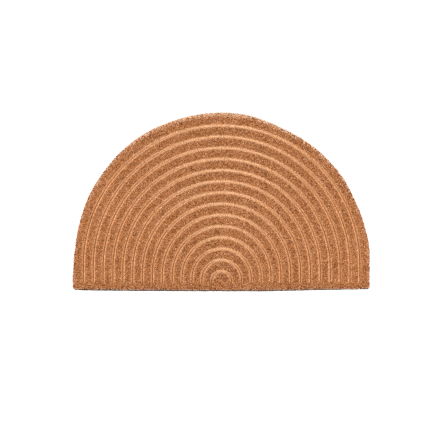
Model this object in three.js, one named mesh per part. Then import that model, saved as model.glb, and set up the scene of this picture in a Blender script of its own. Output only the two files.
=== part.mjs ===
// Half round coir doormat: a pile of upright coconut fibre bonded to a vinyl backing sheet.
// Arched grooves are pressed into the pile, one inside the other, and stop short of the straight edge.
// Millimetres, +Z up. The straight edge faces -Y and the arched edge faces +Y.

import * as THREE from "three";
import { mergeVertices } from "three/addons/utils/BufferGeometryUtils.js";

// Driving dimensions
const matWidth = 750;
const matDepth = 450;
const matThickness = 15;
const backingThickness = 3;
const bondGap = 0.3;
const grooveCount = 14;
const grooveDepth = 6.5;
const endBorder = 25;
const grooveEndRun = 5;
const innerRise = 27;
const backingMargin = 1;
const cornerRadius = 8;
const arcSteps = 36;
const crownHeight = 0.3;

// Sizes that follow from them
const pitch = matWidth / 2 / (grooveCount + 1);
const archRise = matDepth - matWidth / 2;
const pileFoot = backingThickness + bondGap;
const pileTop = matThickness - crownHeight;

// The pressed groove, from its inner rim over the crease to its outer rim; share is of the full depth.
const grooveSection = [
  { out: -6, share: 0 },
  { out: -3.8, share: 0.4 },
  { out: 0, share: 1 },
  { out: 3.8, share: 0.4 },
  { out: 6, share: 0 },
];

// The pile's rounded shoulder, from the cut edge inwards.
const shoulder = [
  { inset: 0, drop: 3.4 },
  { inset: 1.5, drop: 1.2 },
  { inset: 5, drop: 0 },
];

// How far the cut edge strays outwards of the true half round, by the turn round the arch in degrees.
const archWander = [
  { turn: 0, out: 0.3 },
  { turn: 6, out: 1 },
  { turn: 14, out: -1.2 },
  { turn: 25, out: -2.8 },
  { turn: 36, out: -1.2 },
  { turn: 47, out: -2.4 },
  { turn: 57, out: -3.6 },
  { turn: 65, out: -4.8 },
  { turn: 73, out: -2 },
  { turn: 81, out: 1.2 },
  { turn: 95, out: 1.9 },
  { turn: 110, out: 1.6 },
  { turn: 119, out: 3 },
  { turn: 132, out: 2.3 },
  { turn: 141, out: 0 },
  { turn: 152, out: -0.3 },
  { turn: 165, out: -2.8 },
  { turn: 175, out: -2.7 },
  { turn: 180, out: -0.8 },
];

// The same for the two straight sides, by the height above the straight edge.
const sideWander = [
  { height: 0, left: 0, right: -0.3 },
  { height: 28, left: 1.6, right: 0 },
  { height: 75, left: -0.8, right: 0.3 },
];

// How far the straight edge draws back towards its two ends, by the place along it.
const frontWander = [
  { x: -375, back: 3.2 },
  { x: -315, back: 2 },
  { x: -200, back: 1 },
  { x: -60, back: 0.2 },
  { x: 110, back: 0 },
  { x: 160, back: 1.2 },
  { x: 260, back: 3.2 },
  { x: 335, back: 4.6 },
  { x: 375, back: 5.6 },
];

// A smooth value between the rows of a table.
function between(table, key, value, at) {
  const next = table.findIndex((row) => row[key] >= at);
  if (next <= 0) {
    return table[next < 0 ? table.length - 1 : 0][value];
  }
  const [a, b] = [table[next - 1], table[next]];
  const share = THREE.MathUtils.smoothstep(at, a[key], b[key]);
  return THREE.MathUtils.lerp(a[value], b[value], share);
}

// Height of the centre of the arc with this radius above the straight edge. Outer arcs stand on longer legs.
function riseOf(radius) {
  const step = Math.max(0, radius / pitch - 1) / grooveCount;
  return THREE.MathUtils.lerp(innerRise, archRise, step);
}

// The distances from the middle line at which the pile's top changes slope, with the drop there.
function pileRings() {
  const rings = [{ radius: 0, drop: 0, groove: 0 }];
  for (let number = 1; number <= grooveCount; number += 1) {
    for (const { out, share } of grooveSection) {
      rings.push({ radius: number * pitch + out, drop: 0, groove: share * grooveDepth });
    }
    if (number < grooveCount) {
      rings.push({ radius: (number + 0.5) * pitch, drop: -crownHeight, groove: 0 });
    }
  }
  for (const { inset, drop } of [...shoulder].reverse()) {
    rings.push({ radius: matWidth / 2 - backingMargin - inset, drop, groove: 0 });
  }
  return rings;
}

// The stations along every ring: up the right side, over the arc, and down the left side.
function pileStations() {
  const level = { drop: -crownHeight, depth: 1 };
  const leg = shoulder.map(({ inset, drop }) => ({ height: backingMargin + inset, drop, depth: 0 }));
  leg.push({ ...level, height: endBorder - grooveEndRun, depth: 0 });
  leg.push({ ...level, height: endBorder });
  const arc = Array.from({ length: arcSteps + 1 }, (_, i) => ({ ...level, turn: (i * Math.PI) / arcSteps }));
  const right = leg.map((station) => ({ ...station, side: 1 }));
  const left = [...leg].reverse().map((station) => ({ ...station, side: -1 }));
  return [...right, ...arc, ...left];
}

// The corner where the straight edge meets a side is drawn in to a quarter round.
function roundCorner(point) {
  const inward = matWidth / 2 - Math.abs(point.x);
  const across = 1 - Math.min(1, inward / cornerRadius);
  const along = 1 - Math.min(1, point.y / cornerRadius);
  const roundAcross = across * Math.sqrt(1 - (along * along) / 2);
  const roundAlong = along * Math.sqrt(1 - (across * across) / 2);
  point.x -= Math.sign(point.x) * cornerRadius * (across - roundAcross);
  point.y += cornerRadius * (along - roundAlong);
  return point;
}

// How far the cut edge strays outwards beside a station.
function wanderOf(station) {
  if (station.turn !== undefined) {
    return between(archWander, "turn", "out", THREE.MathUtils.radToDeg(station.turn));
  }
  return between(sideWander, "height", station.side > 0 ? "right" : "left", station.height);
}

// Where a ring crosses a station, seen from above. The cut edge's wander fades out across the outer border.
function place(radius, station) {
  const onSide = station.turn === undefined;
  const turn = onSide ? (1 - station.side) * (Math.PI / 2) : station.turn;
  const outward = new THREE.Vector2(Math.cos(turn), Math.sin(turn));
  const height = onSide ? station.height : riseOf(radius) + radius * outward.y;
  const point = roundCorner(new THREE.Vector2(radius * outward.x, height));
  const borderStart = matWidth / 2 - pitch + grooveSection.at(-1).out;
  const nearRim = THREE.MathUtils.smoothstep(radius, borderStart, matWidth / 2);
  const nearFront = 1 - THREE.MathUtils.smoothstep(point.y, 0, endBorder - grooveEndRun);
  point.y += nearFront * between(frontWander, "x", "back", point.x);
  return point.addScaledVector(outward, nearRim * wanderOf(station));
}

// One closed body from a list of corners and faces, with equal corners shared and empty faces left out.
function solidFrom(corners, faces) {
  const geometry = new THREE.BufferGeometry();
  geometry.setAttribute("position", new THREE.Float32BufferAttribute(corners.flat(), 3));
  geometry.setIndex(faces.flat());
  const merged = mergeVertices(geometry, 1e-4);
  const index = Array.from(merged.index.array);
  const kept = [];
  for (let i = 0; i < index.length; i += 3) {
    const [a, b, c] = index.slice(i, i + 3);
    if (a !== b && b !== c && c !== a) {
      kept.push(a, b, c);
    }
  }
  merged.setIndex(kept);
  merged.computeVertexNormals();
  return merged;
}

// The pile: its pressed top, its upright cut edge and its flat foot.
function pileGeometry() {
  const rings = pileRings();
  const stations = pileStations();
  const corners = [];
  const faces = [];
  for (const { radius, drop, groove } of rings) {
    for (const station of stations) {
      const { x, y } = place(radius, station);
      const fall = Math.max(drop, station.drop) + groove * station.depth;
      corners.push([x, y, pileTop - fall]);
    }
  }
  const across = stations.length;
  for (let ring = 0; ring + 1 < rings.length; ring += 1) {
    for (let station = 0; station + 1 < across; station += 1) {
      const a = ring * across + station;
      faces.push([a, a + across, a + across + 1], [a, a + across + 1, a + 1]);
    }
  }
  const rim = [];
  for (let ring = 0; ring < rings.length; ring += 1) {
    rim.push(ring * across);
  }
  for (let station = 1; station < across; station += 1) {
    rim.push((rings.length - 1) * across + station);
  }
  for (let ring = rings.length - 2; ring > 0; ring -= 1) {
    rim.push(ring * across + across - 1);
  }
  const foot = corners.length;
  rim.forEach((corner) => corners.push([corners[corner][0], corners[corner][1], pileFoot]));
  const middle = corners.length;
  corners.push([0, matDepth / 2, pileFoot]);
  rim.forEach((corner, i) => {
    const next = (i + 1) % rim.length;
    faces.push([foot + i, rim[next], corner], [foot + i, foot + next, rim[next]]);
    faces.push([middle, foot + next, foot + i]);
  });
  return solidFrom(corners, faces);
}

// The backing sheet, cut to the same wandering outline as the pile and just proud of it.
function backingGeometry() {
  const corner = { height: 0, side: 1 };
  const edge = pileStations().map((station) => place(matWidth / 2, station));
  const front = [];
  for (const { inset } of shoulder) {
    front.push(matWidth / 2 - backingMargin - inset);
  }
  for (let number = grooveCount; number > 0; number -= 1) {
    front.push(number * pitch);
  }
  const rightHalf = [matWidth / 2, ...front, 0].map((x) => place(x, corner));
  const leftHalf = [matWidth / 2, ...front].map((x) => place(x, { ...corner, side: -1 }));
  const outline = new THREE.Shape([...edge, ...leftHalf, ...rightHalf.reverse()]);
  return new THREE.ExtrudeGeometry(outline, { depth: backingThickness, bevelEnabled: false });
}

const vinyl = new THREE.MeshStandardMaterial({ color: 0x2c2b2a, roughness: 0.75, metalness: 0 });
const coir = new THREE.MeshStandardMaterial({ color: 0xb1724a, roughness: 0.95, metalness: 0 });

const backing = new THREE.Mesh(backingGeometry(), vinyl);
backing.name = "backing";

const pile = new THREE.Mesh(pileGeometry(), coir);
pile.name = "pile";

// The origin is under the middle of the mat, on the floor.
const mat = new THREE.Group();
mat.add(backing, pile);
const bounds = new THREE.Box3().setFromObject(mat);
const middle = bounds.getCenter(new THREE.Vector3());
mat.position.set(-middle.x, -middle.y, -bounds.min.z);

export default mat;
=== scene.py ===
"""Looks of the half round coir doormat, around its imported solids.

The backing is a cut sheet. The pile is a bed with arched grooves pressed into it, and the coir is planted on that
bed as cut strands. Sizes are in metres. The straight edge faces -Y and the arched edge +Y.
"""

import math
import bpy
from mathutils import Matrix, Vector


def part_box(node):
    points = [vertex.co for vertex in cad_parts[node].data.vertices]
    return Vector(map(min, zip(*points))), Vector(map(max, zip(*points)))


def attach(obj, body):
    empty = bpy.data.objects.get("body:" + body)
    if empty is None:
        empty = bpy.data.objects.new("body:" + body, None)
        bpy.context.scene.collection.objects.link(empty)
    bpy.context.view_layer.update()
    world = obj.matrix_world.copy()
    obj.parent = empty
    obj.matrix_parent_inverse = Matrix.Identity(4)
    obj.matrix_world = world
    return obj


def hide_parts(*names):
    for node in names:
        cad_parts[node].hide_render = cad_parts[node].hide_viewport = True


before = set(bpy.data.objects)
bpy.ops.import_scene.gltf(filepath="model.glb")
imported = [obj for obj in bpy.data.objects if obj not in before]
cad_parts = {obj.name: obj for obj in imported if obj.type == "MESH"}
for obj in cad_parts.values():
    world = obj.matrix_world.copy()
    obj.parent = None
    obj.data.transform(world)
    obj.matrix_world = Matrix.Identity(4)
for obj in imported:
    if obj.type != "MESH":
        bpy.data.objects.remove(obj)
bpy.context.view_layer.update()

from types import SimpleNamespace

import bmesh
import bpy
import numpy as np
from mathutils import Matrix, Vector

MM = 0.001
RANDOM_START = 7

# The mat's driving sizes, as in the solids
MAT_WIDTH = 750 * MM
MAT_DEPTH = 450 * MM
GROOVES = 14
GROOVE_DEPTH = 6.5 * MM
END_BORDER = 25 * MM
GROOVE_END_RUN = 5 * MM
INNER_RISE = 27 * MM
BACKING_MARGIN = 1 * MM
CORNER_RADIUS = 5 * MM
PITCH = MAT_WIDTH / 2 / (GROOVES + 1)
ARCH_RISE = MAT_DEPTH - MAT_WIDTH / 2

BACKING_LOW, BACKING_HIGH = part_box("backing")
PILE_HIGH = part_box("pile")[1]

# Rows: millimetres from the groove's crease, share of its full depth
GROOVE_SECTION = [(0, 0.82), (0.7, 0.73), (1.4, 0.62), (3.8, 0.24), (6, 0)]
# Rows: millimetres in from the cut edge, drop of the pile's top in millimetres
SHOULDER = [(0, 3.4), (1.5, 1.2), (5, 0)]
# Rows: turn round the arch in degrees, millimetres that the cut edge strays outwards
ARCH_WANDER = [
    (0, 0.3), (6, 1), (14, -1.2), (25, -2.8), (36, -1.2), (47, -2.4), (57, -3.6), (65, -4.8), (73, -2), (81, 1.2),
    (95, 1.9), (110, 1.6), (119, 3), (132, 2.3), (141, 0), (152, -0.3), (165, -2.8), (175, -2.7), (180, -0.8),
]
# Rows: height up a straight side in millimetres, millimetres that it strays outwards
LEFT_WANDER = [(0, 0), (28, 1.6), (75, -0.8)]
RIGHT_WANDER = [(0, -0.3), (28, 0), (75, 0.3)]
# Rows: place along the straight edge in millimetres, millimetres that it draws back
FRONT_WANDER = [
    (-375, 3.2), (-315, 2), (-200, 1), (-60, 0.2), (110, 0), (160, 1.2), (260, 3.2), (335, 4.6), (375, 5.6),
]

# Rows: turn round the arch in degrees, millimetres that the pile's edge is drawn in from the backing's
RIM_DRAW = [(0, 1.6), (20, 1.4), (50, 0.2), (90, 0), (130, 0), (165, 0.4), (180, 0.8)]

# The pile's bed, which the strands are planted on
BED_INSET = -1.5 * MM
FRONT_INSET = 3.4 * MM
BED_SINK = 2.0 * MM
PRESSED_SINK = 0.7 * MM
BED_LUMP = 0.28 * MM
WALL_LUMP = 0.3 * MM
CREASE_HALF = 0.7 * MM
PRESSED_STRIP = (1.2 * MM, 6.2 * MM)
# Painted shade: the groove's crease on the legs is kept browner; the strip it covers and its strength
CREASE_SHADE_STRIP = (0.5 * MM, 2.2 * MM)
CREASE_SHADE_SHARE = 0.6
FRONT_ZONE = 6 * MM
FIBRE_SIZE = 0.5 * MM
ARC_STATIONS = 150
CLIMB_STATIONS = 8
WALL_ROWS = 5

# Strands: how many stand in each of the four bands of arches and along the cut edge, and their sizes
FIELD_STRANDS = 51500
FRINGE_STRANDS = 31000
FRINGE_ZONE = 4 * MM
FIELD_LENGTH = 3.6 * MM
FRINGE_LENGTH = 4.5 * MM
STRAND_THICKNESS = 0.46 * MM
SHORTEST_STRAND = 1.2 * MM
SHORTEST_PRESSED = 2.5 * MM
CUT_ABOVE = 0.4 * MM
CUT_BELOW = 0.5 * MM

# What each point of the bed says about the strands that stand there
CARRIED = ("pressed", "brown", "edge", "cut", "lean")

# The pile's unevenness: across a tuft, the grain, a dark speck and a wide patch, and how far strands lean and bend
TUFT_SIZE = 4.5 * MM
GRAIN_SIZE = 3.4 * MM
SPECK_SIZE = 9 * MM
PATCH_SIZE = 45 * MM
TUFT_LEAN = 3.2
STRAND_LEAN = 0.75
STRAND_BEND = 0.22

# How the strands lean: over the walls of the grooves, and outwards along the cut edge
WALL_LEAN = 0.9
SIDE_SPLAY = 0.26
FRONT_SPLAY = -0.06
FAR_SPLAY = 0.9
SIDE_SPLAY_ZONE = 7 * MM
FAR_SPLAY_ZONE = 9 * MM

# The camera's view: the photo's scale and where the mat's middle is from the picture's
PICTURE_SIDE = 430
PIXELS_PER_METRE = 394.6
MAT_RIGHT_OF_MIDDLE = 6.35 / PIXELS_PER_METRE
MAT_ABOVE_MIDDLE = 12.45 / PIXELS_PER_METRE
CAMERA_LENS = 85
SENSOR_WIDTH = 36
CAMERA_ELEVATION = math.radians(88)

# Studio light
LIGHT_SIDE = 1.2
LEFT_WATTS = 110
RIGHT_WATTS = 117
SKY_STRENGTH = 0.54


def smooth_step(value, low, high):
    share = np.clip((value - low) / (high - low), 0, 1)
    return share * share * (3 - 2 * share)


def between(table, place):
    """A smooth value between a table's rows. Both columns are in millimetres or degrees, as the table says."""
    keys, values = np.array(table, float).T
    place = np.clip(place, keys[0], keys[-1])
    above = np.clip(np.searchsorted(keys, place), 1, len(keys) - 1)
    share = smooth_step(place, keys[above - 1], keys[above])
    return values[above - 1] + share * (values[above] - values[above - 1])


def straight(table, place):
    """A value on straight lines between a table's rows, both in metres."""
    keys, values = np.array(table, float).T
    return np.interp(place / MM, keys, values)


def rise_of(radius):
    """Height of an arc's centre above the straight edge: outer arcs stand on longer legs."""
    step = np.maximum(0, radius / PITCH - 1) / GROOVES
    return INNER_RISE + step * (ARCH_RISE - INNER_RISE)


def stations(low):
    """The stations along every ring, from the straight edge up the right side, over the arch and down the left."""
    heights = [low, low + 1.5 * MM, low + 5 * MM, 12 * MM, 20 * MM, 22.5 * MM, END_BORDER]
    side = [(height, 0) for height in heights]
    side += [(END_BORDER, climb) for climb in np.arange(1, CLIMB_STATIONS) / CLIMB_STATIONS]
    turns = np.linspace(0, math.pi, ARC_STATIONS)
    heights, climbs = np.array(side).T
    level = np.zeros(len(turns))
    return SimpleNamespace(
        on_side=np.concatenate([heights > 0, level > 0, heights > 0]),
        height=np.concatenate([heights, level, heights[::-1]]),
        climb=np.concatenate([climbs, level, climbs[::-1]]),
        turn=np.concatenate([0 * heights, turns, 0 * heights + math.pi]),
    )


def round_corner(x, y):
    """Draws the corner where the straight edge meets a side in to a quarter round."""
    across = 1 - np.minimum(1, (MAT_WIDTH / 2 - np.abs(x)) / CORNER_RADIUS)
    along = 1 - np.minimum(1, y / CORNER_RADIUS)
    x = x - np.sign(x) * CORNER_RADIUS * across * (1 - np.sqrt(1 - along**2 / 2))
    y = y + CORNER_RADIUS * along * (1 - np.sqrt(1 - across**2 / 2))
    return x, y


def place(radius, line):
    """Where rings of these radii cross the stations, seen from above, and their height above the straight edge."""
    radius = np.asarray(radius, float)[:, None]
    rise = rise_of(radius)
    on_side = line.height + line.climb * (rise - END_BORDER)
    height = np.where(line.on_side, on_side, rise + radius * np.sin(line.turn))
    x, y = round_corner(radius * np.cos(line.turn), height)
    border_start = MAT_WIDTH / 2 - PITCH + GROOVE_SECTION[-1][0] * MM
    side_wander = np.where(line.turn > 1, between(LEFT_WANDER, height / MM), between(RIGHT_WANDER, height / MM))
    wander = np.where(line.on_side, side_wander, between(ARCH_WANDER, np.degrees(line.turn)))
    wander = wander * MM * smooth_step(radius, border_start, MAT_WIDTH / 2)
    near_front = 1 - smooth_step(y, 0, END_BORDER - GROOVE_END_RUN)
    y = y + near_front * between(FRONT_WANDER, x / MM) * MM
    return x + wander * np.cos(line.turn), y + wander * np.sin(line.turn), height


def frame_shift():
    """From the middle of the straight edge to the row frame's origin, found from the backing's box."""
    x, y, _ = place(np.linspace(0, MAT_WIDTH / 2, 200), stations(0.01 * MM))
    return np.array([BACKING_LOW.x - x.min(), BACKING_LOW.y - y.min()])


SHIFT = frame_shift()


def bed_radii():
    """Radii of the bed's rings, close together over each groove."""
    radii = [0]
    for number in range(1, GROOVES + 1):
        crease = number * PITCH
        half = [CREASE_HALF, 1.5 * MM, 2.9 * MM, 4.3 * MM, 6 * MM]
        radii += [crease - out for out in half[::-1]] + [crease] + [crease + out for out in half]
        if number < GROOVES:
            radii += [(number + 0.5) * PITCH + out * MM for out in (-3.5, 0, 3.5)]
    rim = MAT_WIDTH / 2 - BACKING_MARGIN - BED_INSET
    radii += [rim - inset * MM for inset in (13, 9, 5, 3, 1.5, 0)]
    return np.array(radii)


def closed_loop(rings, across):
    """Numbers of the grid's border points, once round against the clock from the straight edge's middle."""
    right = [ring * across for ring in range(rings)]
    round_the_arch = [(rings - 1) * across + station for station in range(1, across)]
    left = [ring * across + across - 1 for ring in range(rings - 2, 0, -1)]
    return np.array(right + round_the_arch + left)


def outward_of(x, y):
    """Unit vectors that point out of a closed loop of points."""
    along = np.stack([np.roll(x, -1) - np.roll(x, 1), np.roll(y, -1) - np.roll(y, 1)], 1)
    along /= np.maximum(np.linalg.norm(along, axis=1, keepdims=True), 1e-9)
    return np.stack([along[:, 1], -along[:, 0], 0 * x], 1)


def grid_quads(number, closed=False):
    """Quads between the rows of a grid of point numbers. A closed grid joins its last column to its first."""
    ahead = np.roll(number, -1, axis=1)
    quads = np.stack([number[:-1], number[1:], ahead[1:], ahead[:-1]], -1)
    return (quads if closed else quads[:, :-1]).reshape(-1, 4)


def top_of_bed(rng):
    """The bed's top, and what each of its points says about the strands that stand there."""
    line = stations(BACKING_MARGIN + FRONT_INSET)
    radii = bed_radii()
    x, y, height = place(radii, line)
    radius = radii[:, None] + 0 * x
    far = np.where(line.on_side, 0, np.sin(line.turn) ** 2)
    near_rim = smooth_step(radius, MAT_WIDTH / 2 - PITCH, MAT_WIDTH / 2)
    drawn = between(RIM_DRAW, np.degrees(line.turn)) * MM * near_rim
    x, y = x - drawn * np.cos(line.turn), y - drawn * np.sin(line.turn)

    # The groove's section, and the pale strip that its stamp has pressed, which painted light makes paler over the
    # arch's top than on the legs. Painted shade keeps the crease browner on the legs.
    crease = PITCH * np.clip(np.round(radius / PITCH), 1, GROOVES)
    out = radius - crease
    fades_in = np.where(line.on_side, smooth_step(height, END_BORDER - GROOVE_END_RUN, END_BORDER), 1)
    depth = straight(GROOVE_SECTION, np.abs(out)) * fades_in
    # Painted light: the pressed strip is paler over the arch's top than on the legs
    pressed = (1 - smooth_step(np.abs(out), *PRESSED_STRIP)) * fades_in * (0.82 + 0.18 * far)
    brown = CREASE_SHADE_SHARE * (1 - smooth_step(np.abs(out), *CREASE_SHADE_STRIP)) * fades_in * (1 - far)

    rim_inset = MAT_WIDTH / 2 - BACKING_MARGIN - BED_INSET - radius
    front_inset = np.where(line.on_side, height - BACKING_MARGIN - FRONT_INSET, MAT_DEPTH)
    inset = np.minimum(rim_inset, front_inset)
    cut = PILE_HIGH.z - straight(SHOULDER, inset) * MM - GROOVE_DEPTH * depth
    sink = BED_SINK + (PRESSED_SINK - BED_SINK) * pressed
    z = cut - sink + rng.normal(0, BED_LUMP, x.shape) * (1 - 0.75 * pressed)
    z[0] = z[0].mean()

    # Strands lie up the walls of a groove and lean out over the cut edge, most at the far one.
    zone = SIDE_SPLAY_ZONE + far * (FAR_SPLAY_ZONE - SIDE_SPLAY_ZONE)
    edge = 1 - smooth_step(rim_inset / zone, 0.25, 1)
    front_edge = 1 - smooth_step(front_inset, 0, FRONT_ZONE)
    splay = edge * (SIDE_SPLAY + far * (FAR_SPLAY - SIDE_SPLAY))
    aside = splay + WALL_LEAN * pressed * np.clip(out / CREASE_HALF, -1, 1)
    lean = np.stack([aside * np.cos(line.turn), aside * np.sin(line.turn), 1 + 0 * x], -1)

    # How far along its groove and how far across it each point is
    on_leg = np.where(line.turn > 1, -height, height)
    along = np.where(line.on_side, on_leg, crease * line.turn)
    return SimpleNamespace(
        points=np.stack([x + SHIFT[0], y + SHIFT[1], z], -1).reshape(-1, 3),
        quads=grid_quads(np.arange(x.size).reshape(x.shape)),
        loop=closed_loop(*x.shape),
        run=np.stack([along, out, crease], -1).reshape(-1, 3),
        pressed=pressed.ravel(),
        brown=brown.ravel(),
        # Painted highlight: strands near the cut edge are paler, most at the far rim, and near the straight edge
        # where the pile is shaded. It also sets how densely strands stand there.
        edge=np.maximum(edge * (0.35 + 0.65 * far), 0.7 * front_edge).ravel(),
        cut=cut.ravel(),
        lean=lean.reshape(-1, 3),
        inset=inset.ravel(),
        parted=((np.abs(out) < 0.5 * CREASE_HALF) & (depth > 0.5)).ravel(),
    )


def wall_of_bed(rng, top):
    """The bed's upright cut edge, in rows from the rim of its top down to the backing."""
    rim = top.points[top.loop]
    away = outward_of(rim[:, 0], rim[:, 1])
    rows = [rim]
    for row in range(1, WALL_ROWS + 1):
        share = row / WALL_ROWS
        level = rim.copy()
        level[:, 2] += share * (BACKING_HIGH.z - rim[:, 2])
        level += away * rng.normal(0, WALL_LUMP, (len(rim), 1)) * math.sin(math.pi * min(share, 0.7))
        rows.append(level)
    number = np.arange(len(rows) * len(rim)).reshape(len(rows), -1)
    far = np.clip(away[:, 1], 0, 1)
    splay = np.where(away[:, 1] < -0.7, FRONT_SPLAY, SIDE_SPLAY + far * (FAR_SPLAY - SIDE_SPLAY))
    lean = away * splay[:, None] + (0, 0, 1)
    around = np.cumsum(np.linalg.norm(rim - np.roll(rim, 1, axis=0), axis=1))
    height = np.concatenate(rows)[:, 2]
    return SimpleNamespace(
        points=np.concatenate(rows),
        quads=np.roll(grid_quads(number, closed=True), -1, axis=1),
        run=np.stack([np.tile(around, len(rows)), height, 1 + 0 * height], -1),
        pressed=0 * height,
        brown=0 * height,
        # Painted highlight: the wall's strands are paler, most at the far rim
        edge=np.tile(0.35 + 0.65 * far, len(rows)),
        cut=np.tile(top.cut[top.loop], len(rows)),
        lean=np.tile(lean, (len(rows), 1)),
    )


def mesh_object(name, points, faces, layers=()):
    """An object at the origin from points and faces, with a named value or vector on each point."""
    mesh = bpy.data.meshes.new(name)
    mesh.from_pydata([tuple(point) for point in points], [], [tuple(face) for face in faces])
    for layer, values in dict(layers).items():
        flat = np.asarray(values, np.float32)
        kind, slot = ("FLOAT", "value") if flat.ndim == 1 else ("FLOAT_VECTOR", "vector")
        mesh.attributes.new(layer, kind, "POINT").data.foreach_set(slot, flat.ravel())
    mesh.validate()
    piece = bpy.data.objects.new(name, mesh)
    bpy.context.collection.objects.link(piece)
    return piece


def weld(piece, gap=1e-6):
    """Joins points that lie on each other, so that the shape is closed."""
    shape = bmesh.new()
    shape.from_mesh(piece.data)
    bmesh.ops.remove_doubles(shape, verts=shape.verts, dist=gap)
    shape.to_mesh(piece.data)
    shape.free()


def read_all(items, key, kind, width=1):
    """One value or vector of every item of a mesh."""
    values = np.empty(len(items) * width, kind)
    items.foreach_get(key, values)
    return values.reshape(-1, width) if width > 1 else values


def flat_map(piece, low, high):
    """A map for the bake: the top seen from above, the wall unrolled under it and the foot beside that."""
    mesh = piece.data
    corner = read_all(mesh.loops, "vertex_index", np.int32)
    x, y, z = read_all(mesh.vertices, "co", np.float32, 3)[corner].T
    upward = read_all(mesh.polygons, "normal", np.float32, 3)[:, 2]
    facing = np.repeat(upward, read_all(mesh.polygons, "loop_total", np.int32))
    on_top, on_foot = facing > 0.25, facing < -0.7
    across = (x - low.x) / (high.x - low.x)
    deep = (y - low.y) / (high.y - low.y)
    up = (z - low.z) / (PILE_HIGH.z - low.z)
    around = np.arctan2(y - low.y - 0.15, x) / (2 * math.pi) + 0.5
    u = np.where(on_top, 0.01 + 0.98 * across, np.where(on_foot, 0.01 + 0.2 * across, 0.23 + 0.76 * around))
    v = np.where(on_top, 0.30 + 0.69 * deep, np.where(on_foot, 0.01 + 0.1 * deep, 0.01 + 0.26 * up))
    layer = mesh.uv_layers.new(name="OFBake")
    layer.data.foreach_set("uv", np.stack([u, v], 1).astype(np.float32).ravel())


class Wire:
    """A node's output that goes on through plain arithmetic. Each sign adds its Math node."""

    def __init__(self, bench, socket):
        self.bench = bench
        self.socket = socket

    def maths(self, operation, *terms):
        return self.bench.add("ShaderNodeMath", {"operation": operation}, dict(enumerate(terms)))

    def __add__(self, other):
        return self.maths("ADD", self, other)

    def __sub__(self, other):
        return self.maths("SUBTRACT", self, other)

    def __rsub__(self, other):
        return self.maths("SUBTRACT", other, self)

    def __mul__(self, other):
        return self.maths("MULTIPLY", self, other)

    def __truediv__(self, other):
        return self.maths("DIVIDE", self, other)

    __radd__ = __add__

    def at_least(self, other):
        return self.maths("MAXIMUM", self, other)

    def at_most(self, other):
        return self.maths("MINIMUM", self, other)

    def ranged(self, from_low, from_high, to_low, to_high):
        ends = {"From Min": from_low, "From Max": from_high, "To Min": to_low, "To Max": to_high}
        return self.bench.add("ShaderNodeMapRange", {"clamp": True}, {"Value": self, **ends})


class Bench:
    """Adds nodes to one tree."""

    def __init__(self, tree):
        self.tree = tree

    def add(self, kind, settings=None, inputs=None, output=0):
        node = self.tree.nodes.new(kind)
        for name, value in (settings or {}).items():
            if name == "stops":
                self.set_stops(node.color_ramp, value)
            else:
                setattr(node, name, value)
        for name, value in (inputs or {}).items():
            if isinstance(value, Wire):
                self.tree.links.new(value.socket, node.inputs[name])
            else:
                node.inputs[name].default_value = value
        return Wire(self, node.outputs[output]) if node.outputs else None

    @staticmethod
    def set_stops(ramp, stops):
        while len(ramp.elements) < len(stops):
            ramp.elements.new(1)
        for element, (where, colour) in zip(ramp.elements, stops):
            element.position = where
            element.color = colour

    def vectors(self, operation, *terms, output=0):
        return self.add("ShaderNodeVectorMath", {"operation": operation}, dict(enumerate(terms)), output)

    def scaled(self, vector, by):
        return self.add("ShaderNodeVectorMath", {"operation": "SCALE"}, {0: vector, "Scale": by})

    def noise(self, where, size, detail=2, output=0):
        """Noise whose lumps are about this many metres across."""
        return self.add("ShaderNodeTexNoise", {}, {"Vector": where, "Scale": 1 / size, "Detail": detail}, output)

    def colours(self, share, first, second, blend="MIX"):
        settings = {"data_type": "RGBA", "blend_type": blend}
        return self.add("ShaderNodeMix", settings, {0: share, 6: first, 7: second}, output=2)


def colour(code):
    """A colour for a node from the usual six hexadecimal digits."""
    parts = [int(code[i : i + 2], 16) / 255 for i in (0, 2, 4)]
    return (*(part / 12.92 if part <= 0.04045 else ((part + 0.055) / 1.055) ** 2.4 for part in parts), 1)


def material(name):
    """An empty material and its bench."""
    made = bpy.data.materials.new(name)
    made.use_nodes = True
    made.node_tree.nodes.clear()
    return made, Bench(made.node_tree)


def finish_surface(bench, sockets):
    surface = bench.add("ShaderNodeBsdfPrincipled", {}, sockets)
    bench.add("ShaderNodeOutputMaterial", {}, {"Surface": surface})


def point_value(bench, name):
    return bench.add("ShaderNodeAttribute", {"attribute_name": name}, output=2)


def coir_strand_material():
    made, bench = material("coir strands")
    tint = point_value(bench, "tint")
    along = point_value(bench, "along")
    stops = [
        (0, colour("5c2c10")),
        (0.25, colour("985526")),
        (0.5, colour("ca823d")),
        (0.75, colour("e8b07e")),
        (1, colour("fae2ca")),
    ]
    fibre = bench.add("ShaderNodeValToRGB", {"stops": stops}, {"Fac": tint})
    # Painted shade: each strand is darker towards its root, down in the pile
    shade = along.ranged(0, 0.6, 0.55, 1)
    grey = bench.add("ShaderNodeCombineColor", {}, {"Red": shade, "Green": shade, "Blue": shade})
    tone = bench.colours(1.0, fibre, grey, blend="MULTIPLY")
    finish_surface(bench, {"Base Color": tone, "Roughness": 0.85, "Specular IOR Level": 0.12})
    return made


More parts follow.
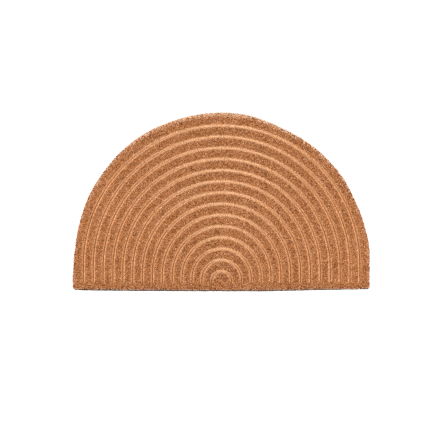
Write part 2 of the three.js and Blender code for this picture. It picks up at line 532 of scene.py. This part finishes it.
def coir_bed_material():
    made, bench = material("coir bed")
    here = bench.add("ShaderNodeTexCoord", output=3)
    pressed = point_value(bench, "pressed")
    run = bench.add("ShaderNodeAttribute", {"attribute_name": "run"}, output=1)
    combed = bench.noise(bench.vectors("MULTIPLY", run, (1, 0.15, 1)), 1.2 * FIBRE_SIZE, 3)
    winding = bench.vectors("ADD", here, bench.scaled(bench.noise(here, 7 * MM, 1, output=1), 4 * MM))
    lying = []
    for angle in (0.6, 1.7, 2.7):
        inputs = {"Vector": winding, "Angle": angle}
        turned = bench.add("ShaderNodeVectorRotate", {"rotation_type": "Z_AXIS"}, inputs)
        lying.append(bench.noise(bench.vectors("MULTIPLY", turned, (1, 0.16, 0.4)), FIBRE_SIZE, 1))
    matted = lying[0].at_least(lying[1]).at_least(lying[2])
    speckle = matted * (1 - pressed) + combed * pressed
    patches = bench.noise(here, 40 * MM, 2)
    grain = speckle.ranged(pressed * -0.05 + 0.42, 0.72, 0, 1)
    open_pile = bench.colours(grain, colour("54311d"), colour("b57444"))
    pressed_pile = bench.colours(grain, colour("a06c3e"), colour("f0cba4"))
    # The pale pressed strip, with the painted highlight along the cut edge that the same layer holds
    tone = bench.colours(pressed.ranged(0.1, 1, 0, 1), open_pile, pressed_pile)
    # Painted shade: the crease on the legs is mixed towards a darker brown
    tone = bench.colours(point_value(bench, "brown") * 1.3, tone, colour("c47c38"))
    worn = bench.colours(patches.ranged(0.3, 0.7, 0, 0.25), tone, colour("b98052"))
    bump = bench.add("ShaderNodeBump", {}, {"Strength": 1.0, "Distance": 0.7 * MM, "Height": speckle})
    rough = speckle.ranged(0.3, 0.7, 0.85, 1)
    finish_surface(bench, {"Base Color": worn, "Roughness": rough, "Normal": bump, "Specular IOR Level": 0.2})
    return made


def backing_material():
    made, bench = material("vinyl backing")
    here = bench.add("ShaderNodeTexCoord", output=3)
    grain = bench.noise(here, 1.2 * MM, 4)
    dust = bench.noise(here, 30 * MM, 3)
    sheet = bench.colours(grain.ranged(0.3, 0.7, 0, 1), colour("262524"), colour("4c4a47"))
    tone = bench.colours(dust.ranged(0.45, 0.8, 0, 0.35), sheet, colour("6d675f"))
    bump = bench.add("ShaderNodeBump", {}, {"Strength": 0.5, "Distance": 0.3 * MM, "Height": grain})
    rough = grain.ranged(0.3, 0.7, 0.6, 0.85)
    finish_surface(bench, {"Base Color": tone, "Roughness": rough, "Normal": bump, "Specular IOR Level": 0.35})
    return made


def floor_material():
    made, bench = material("studio floor")
    here = bench.add("ShaderNodeTexCoord", output=3)
    cloud = bench.noise(here, 0.6, 2)
    tone = bench.colours(cloud, colour("f2f2f2"), colour("f5f5f5"))
    finish_surface(bench, {"Base Color": tone, "Roughness": 0.9, "Specular IOR Level": 0.1})
    return made


def declare_sockets(tree):
    """The planting's named inputs and its one output."""
    face = tree.interface
    face.new_socket("Geometry", in_out="INPUT", socket_type="NodeSocketGeometry")
    for name in ("Strand Length", "Strand Thickness", "Strands Per Square Metre", "Stray"):
        face.new_socket(name, in_out="INPUT", socket_type="NodeSocketFloat")
    face.new_socket("Seed", in_out="INPUT", socket_type="NodeSocketInt")
    face.new_socket("Strand", in_out="INPUT", socket_type="NodeSocketObject")
    face.new_socket("Coir", in_out="INPUT", socket_type="NodeSocketMaterial")
    face.new_socket("Geometry", in_out="OUTPUT", socket_type="NodeSocketGeometry")


def planting_tree():
    """Plants cut strands on a carrier mesh, whose points say how the pile stands there."""
    tree = bpy.data.node_groups.new("coir planting", "GeometryNodeTree")
    tree.is_modifier = True
    declare_sockets(tree)
    bench = Bench(tree)
    given_node = tree.nodes.new("NodeGroupInput")
    given = {socket.name: Wire(bench, socket) for socket in given_node.outputs if socket.name}

    def says(name, kind="FLOAT"):
        return bench.add("GeometryNodeInputNamedAttribute", {"data_type": kind}, {"Name": name})

    def chance(low, high, seed):
        inputs = {2: low, 3: high, "Seed": seed}
        return bench.add("FunctionNodeRandomValue", {"data_type": "FLOAT"}, inputs, output=1)

    def chance_vector(seed):
        inputs = {0: (-1, -1, -1), 1: (1, 1, 1), "Seed": seed}
        return bench.add("FunctionNodeRandomValue", {"data_type": "FLOAT_VECTOR"}, inputs)

    def store(geometry, name, value, kind="FLOAT", domain="POINT"):
        settings = {"data_type": kind, "domain": domain}
        inputs = {"Geometry": geometry, "Name": name, "Value": value}
        return bench.add("GeometryNodeStoreNamedAttribute", settings, inputs)

    def parts(vector):
        node = bench.add("ShaderNodeSeparateXYZ", {}, {0: vector})
        return [Wire(bench, socket) for socket in node.socket.node.outputs]

    here = bench.add("GeometryNodeInputPosition")
    pressed, edge, cut = says("pressed"), says("edge"), says("cut")

    density = given["Strands Per Square Metre"] * edge.ranged(0, 1, 0.9, 1.5)
    spread = {"Mesh": given["Geometry"], "Density": density, "Seed": given["Seed"]}
    points = bench.add("GeometryNodeDistributePointsOnFaces", {"distribute_method": "RANDOM"}, spread)

    # Neighbours lean together in tufts, and each strand strays on its own. Pressed ones lie in order.
    tuft = bench.noise(here, TUFT_SIZE, 1, output=1)
    tuft_lean = bench.scaled(bench.vectors("SUBTRACT", tuft, (0.5, 0.5, 0.5)), TUFT_LEAN)
    stray = bench.vectors("ADD", tuft_lean, bench.scaled(chance_vector(11), STRAND_LEAN))
    stray = bench.scaled(stray, pressed.ranged(0, 0.5, 1, 0.2) * given["Stray"])
    lean_x, lean_y, lean_z = parts(bench.vectors("ADD", says("lean", "FLOAT_VECTOR"), stray))
    way = bench.add("ShaderNodeCombineXYZ", {}, {"X": lean_x, "Y": lean_y, "Z": lean_z.at_least(0.12)})
    way = bench.vectors("NORMALIZE", way)

    # Each strand is cut off where the sheared top is.
    room = (cut + chance(-CUT_BELOW, CUT_ABOVE, 12) - parts(here)[2]) / parts(way)[2]
    uncut = given["Strand Length"] * chance(0.7, 1.15, 13)
    shortest = pressed * (SHORTEST_PRESSED - SHORTEST_STRAND) + SHORTEST_STRAND
    length = uncut.at_most(room.at_least(shortest))
    width = given["Strand Thickness"] * chance(0.7, 1.3, 14)

    # The grain of the pile, a few dark specks, wide patches, the pale grooves with painted light over the arch's
    # top and painted shade in their crease on the legs, and a painted highlight along the cut edge
    grain = (bench.noise(here, GRAIN_SIZE, 2) - 0.5) * 4.0 + chance(-0.2, 0.17, 15)
    grain = grain.at_most(0.32) * pressed.ranged(0, 1, 1, 0.3)
    speck = bench.noise(here, SPECK_SIZE, 0).ranged(0.74, 0.8, 0, 0.4)
    patch = (bench.noise(here, PATCH_SIZE, 2) - 0.5) * 0.15
    # The pressed strip's paleness, less the painted shade in the crease on the legs
    pale = pressed * (1 - says("brown"))
    tint = 0.5 + grain - speck + patch + pale * 0.34 + edge * 0.46
    bend = bench.scaled(chance_vector(16), length * STRAND_BEND)
    points = store(points, "bend", bend, "FLOAT_VECTOR")
    points = store(points, "tint", tint.at_least(0.03).at_most(0.97))

    strand = bench.add("GeometryNodeObjectInfo", {}, {"Object": given["Strand"]}, output="Geometry")
    turn = bench.add("ShaderNodeCombineXYZ", {}, {"Z": chance(0, 2 * math.pi, 17)})
    turn = bench.add("FunctionNodeEulerToRotation", {}, {0: turn})
    aim = bench.add("FunctionNodeAlignRotationToVector", {"axis": "Z"}, {"Rotation": turn, "Vector": way})
    size = bench.add("ShaderNodeCombineXYZ", {}, {"X": width, "Y": width, "Z": length})
    planted = {"Points": points, "Instance": strand, "Rotation": aim, "Scale": size}
    strands = bench.add("GeometryNodeInstanceOnPoints", {}, planted)
    strands = bench.add("GeometryNodeRealizeInstances", {}, {0: strands})
    along = says("along")
    bent = bench.scaled(says("bend", "FLOAT_VECTOR"), along * along)
    strands = bench.add("GeometryNodeSetPosition", {}, {"Geometry": strands, "Offset": bent})

    # The map for the bake is a palette: tint across it and the way up the strand up it.
    across_map = says("tint") * 0.9 + 0.05 + says("around") * 0.004
    up_map = along * 0.88 + 0.06 + says("aside") * 0.02
    spot = bench.add("ShaderNodeCombineXYZ", {}, {"X": across_map, "Y": up_map})
    strands = store(strands, "OFBake", spot, "FLOAT2", "CORNER")
    strands = bench.add("GeometryNodeSetMaterial", {}, {"Geometry": strands, "Material": given["Coir"]})
    out = tree.nodes.new("NodeGroupOutput")
    tree.links.new(strands.socket, out.inputs[0])
    return tree


def cut_strand():
    """A strand one wide and one long, for the planting to copy. Its two ends are crossed edges."""
    points = [(-0.5, 0, 0), (0.5, 0, 0), (0, -0.5, 1), (0, 0.5, 1)]
    x, y, z = np.array(points).T
    faces = [(0, 1, 2), (1, 0, 3), (0, 2, 3), (1, 3, 2)]
    return mesh_object("cut_strand", points, faces, {"along": z, "around": x + 0.5 * y, "aside": y})


def plant(name, carrier, quads, tree, sizes):
    """Grows the strands on some of a carrier's quads and keeps them as a plain mesh."""
    used = np.unique(quads)
    renumber = np.full(len(carrier.points), -1)
    renumber[used] = np.arange(len(used))
    layers = {key: getattr(carrier, key)[used] for key in CARRIED}
    piece = mesh_object(name, carrier.points[used], renumber[quads], layers)
    grow = piece.modifiers.new("planting", "NODES")
    grow.node_group = tree
    for socket in tree.interface.items_tree:
        if socket.in_out == "INPUT" and socket.name in sizes:
            grow[socket.identifier] = sizes[socket.name]
    evaluated = piece.evaluated_get(bpy.context.evaluated_depsgraph_get())
    grown = bpy.data.meshes.new_from_object(evaluated)
    piece.modifiers.remove(grow)
    bare = piece.data
    piece.data = grown
    bpy.data.meshes.remove(bare)
    grown.name = name
    for layer in ("bend", "around", "aside", *CARRIED):
        if layer in grown.attributes:
            grown.attributes.remove(grown.attributes[layer])
    return piece


def area_of(points, quads):
    """Area of each quad."""
    a, b, c, d = points[quads].transpose(1, 0, 2)
    return np.linalg.norm(np.cross(c - a, d - b), axis=1) / 2


def make_bed(top, wall):
    """The closed body that the strands are planted on: its top, its wall and a flat foot."""
    middle = [[0, 0, BACKING_HIGH.z]]
    points = np.concatenate([top.points, wall.points, middle])
    foot = np.arange(len(points) - 1 - len(top.loop), len(points) - 1)
    fan = np.stack([0 * foot + len(points) - 1, np.roll(foot, -1), foot], 1)
    faces = [*top.quads.tolist(), *(wall.quads + len(top.points)).tolist(), *fan.tolist()]
    # The bed's pale layer: the pressed strip less the painted crease shade, and a painted highlight along the cut
    # edge
    pale = [np.maximum(part.pressed * (1 - part.brown), 0.5 * part.edge) for part in (top, wall)]
    layers = {
        "pressed": np.concatenate([*pale, [0]]),
        "brown": np.concatenate([top.brown, wall.brown, [0]]),
        "run": np.concatenate([top.run, wall.run, [(0, 0, 0)]]),
    }
    bed = mesh_object("pile_bed", points, faces, layers)
    weld(bed)
    flat_map(bed, BACKING_LOW, BACKING_HIGH)
    bed.data.materials.append(coir_bed_material())
    return bed


def make_backing(rng):
    """The backing sheet: its cut edge is slightly ragged and its two rims are rounded."""
    line = stations(0.01 * MM)
    radii = np.concatenate([np.linspace(0, MAT_WIDTH / 2 - 6 * MM, 60), MAT_WIDTH / 2 - np.array([4, 2, 0]) * MM])
    x, y, _ = place(radii, line)
    loop = closed_loop(*x.shape)
    x, y = x.ravel()[loop], y.ravel()[loop]
    away = outward_of(x, y)
    rim = np.stack([x + SHIFT[0], y + SHIFT[1], BACKING_LOW.z + 0 * x], 1)
    ragged = np.abs(rng.normal(0, 0.35 * MM, (len(rim), 1)))
    thick = BACKING_HIGH.z - BACKING_LOW.z
    # Rows: share of the thickness, millimetres in from the cut edge
    section = [(0, 12), (0, 0.9), (0.06, 0.35), (0.25, 0.05), (0.6, 0), (0.85, 0.15), (1, 0.6), (1, 12)]
    rows = [rim - away * (inset * MM + ragged) + (0, 0, share * thick) for share, inset in section]
    low_middle = rim.mean(0)
    points = np.concatenate([*rows, [low_middle, low_middle + (0, 0, thick)]])
    number = np.arange(len(section) * len(rim)).reshape(len(section), -1)
    ahead = np.roll(number, -1, axis=1)
    faces = grid_quads(number[::-1], closed=True).tolist()
    faces += [(len(points) - 2, b, a) for a, b in zip(number[0], ahead[0])]
    faces += [(len(points) - 1, a, b) for a, b in zip(number[-1], ahead[-1])]
    sheet = mesh_object("backing_sheet", points, faces)
    weld(sheet)
    sheet.data.materials.append(backing_material())
    return sheet


def make_coir(top, wall):
    """The strands: bands of arches from the middle outwards, and the fringe along the cut edge."""
    tree = planting_tree()
    inset = top.inset[top.quads].mean(1)
    parted = top.parted[top.quads].any(1)
    field = top.quads[(inset >= FRINGE_ZONE) & ~parted]
    rim = top.quads[inset < FRINGE_ZONE]
    around = SimpleNamespace(
        points=np.concatenate([top.points, wall.points]),
        quads=np.concatenate([rim, wall.quads + len(top.points)]),
        **{key: np.concatenate([getattr(top, key), getattr(wall, key)]) for key in CARRIED},
    )
    grown = np.cumsum(area_of(top.points, field))
    names = ["coir_inner_arches", "coir_middle_arches", "coir_outer_arches", "coir_border"]
    stops = np.searchsorted(grown, grown[-1] * np.arange(1, len(names)) / len(names))
    sizes = {
        "Strand Length": FIELD_LENGTH,
        "Strand Thickness": STRAND_THICKNESS,
        "Strands Per Square Metre": FIELD_STRANDS * len(names) / grown[-1],
        "Stray": 1.0,
        "Strand": cut_strand(),
        "Coir": coir_strand_material(),
    }
    fringe = {
        **sizes,
        "Strand Length": FRINGE_LENGTH,
        "Strands Per Square Metre": FRINGE_STRANDS / area_of(around.points, around.quads).sum(),
        "Stray": 0.35,
        "Seed": len(names),
    }
    pieces = []
    for seed, (name, quads) in enumerate(zip(names, np.split(field, stops))):
        pieces.append(plant(name, top, quads, tree, {**sizes, "Seed": seed}))
    pieces.append(plant("coir_cut_edge", around, around.quads, tree, fringe))
    bpy.data.objects.remove(sizes["Strand"])
    return pieces


def make_floor():
    side = 12
    corners = [(-side, -side, 0), (side, -side, 0), (side, side, 0), (-side, side, 0)]
    floor = mesh_object("floor", corners, [(0, 1, 2, 3)])
    floor.data.transform(Matrix.Translation((0, 0, -0.3 * MM)))
    floor.data.materials.append(floor_material())


def area_light(name, place_at, side, watts):
    data = bpy.data.lights.new(name, "AREA")
    data.size = side
    data.energy = watts
    lamp = bpy.data.objects.new(name, data)
    lamp.location = place_at
    lamp.rotation_euler = (-Vector(place_at)).to_track_quat("-Z", "Y").to_euler()
    bpy.context.collection.objects.link(lamp)


def light_studio():
    world = bpy.data.worlds.new("studio")
    world.use_nodes = True
    sky = world.node_tree.nodes["Background"]
    sky.inputs["Color"].default_value = (1, 1, 1, 1)
    sky.inputs["Strength"].default_value = SKY_STRENGTH
    bpy.context.scene.world = world
    area_light("left box", (-2.3, 0.2, 1.3), LIGHT_SIDE, LEFT_WATTS)
    area_light("right box", (2.3, -0.6, 1.3), LIGHT_SIDE, RIGHT_WATTS)
    view = bpy.context.scene.view_settings
    view.view_transform = "Standard"
    view.look = "None"
    # The pile's grain is finer than a picture's dots, and smoothing would wipe it out.
    bpy.context.scene.cycles.use_denoising = False


def place_camera():
    data = bpy.data.cameras.new("camera")
    data.lens = CAMERA_LENS
    data.sensor_width = SENSOR_WIDTH
    camera = bpy.data.objects.new("camera", data)
    reach = PICTURE_SIDE / PIXELS_PER_METRE / 2 * CAMERA_LENS / (SENSOR_WIDTH / 2)
    target = Vector((-MAT_RIGHT_OF_MIDDLE, -MAT_ABOVE_MIDDLE, PILE_HIGH.z))
    back = Vector((0, -math.cos(CAMERA_ELEVATION), math.sin(CAMERA_ELEVATION)))
    camera.location = target + back * reach
    camera.rotation_euler = (-back).to_track_quat("-Z", "Y").to_euler()
    bpy.context.collection.objects.link(camera)
    bpy.context.scene.camera = camera


def build():
    rng = np.random.default_rng(RANDOM_START)
    place_camera()
    light_studio()
    make_floor()
    top = top_of_bed(rng)
    wall = wall_of_bed(rng, top)
    sheet = make_backing(rng)
    bed = make_bed(top, wall)
    coir = make_coir(top, wall)
    for piece in (sheet, bed, *coir):
        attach(piece, "root")
    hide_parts("backing")
    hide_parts("pile")


build()
